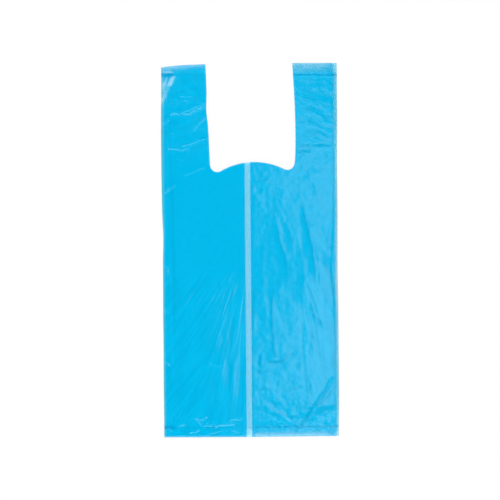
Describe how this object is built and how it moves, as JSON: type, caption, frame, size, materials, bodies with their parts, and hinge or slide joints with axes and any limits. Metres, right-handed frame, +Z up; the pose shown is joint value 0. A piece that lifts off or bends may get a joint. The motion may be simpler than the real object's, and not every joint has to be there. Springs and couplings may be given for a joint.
{
  "type": "nappy bag",
  "caption": "Flat-lying disposable nappy bag of thin translucent blue film, with side gussets, welded base and two tie handles either side of a die-cut mouth.",
  "frame": {"origin": "middle of the bag's outline, on the surface that it lies on", "axes": "+Y along the bag from the base to the handles, +X across the bag to the right as seen from above, +Z up out of the front panel"},
  "size_m": [0.176, 0.375, 0.0033],
  "materials": {
    "blue_film": "thin blown film, see-through where few layers lie, soft sheen"
  },
  "bodies": {
    "root": {"nappy_bag": "blue_film"}
  },
  "joints": []
}
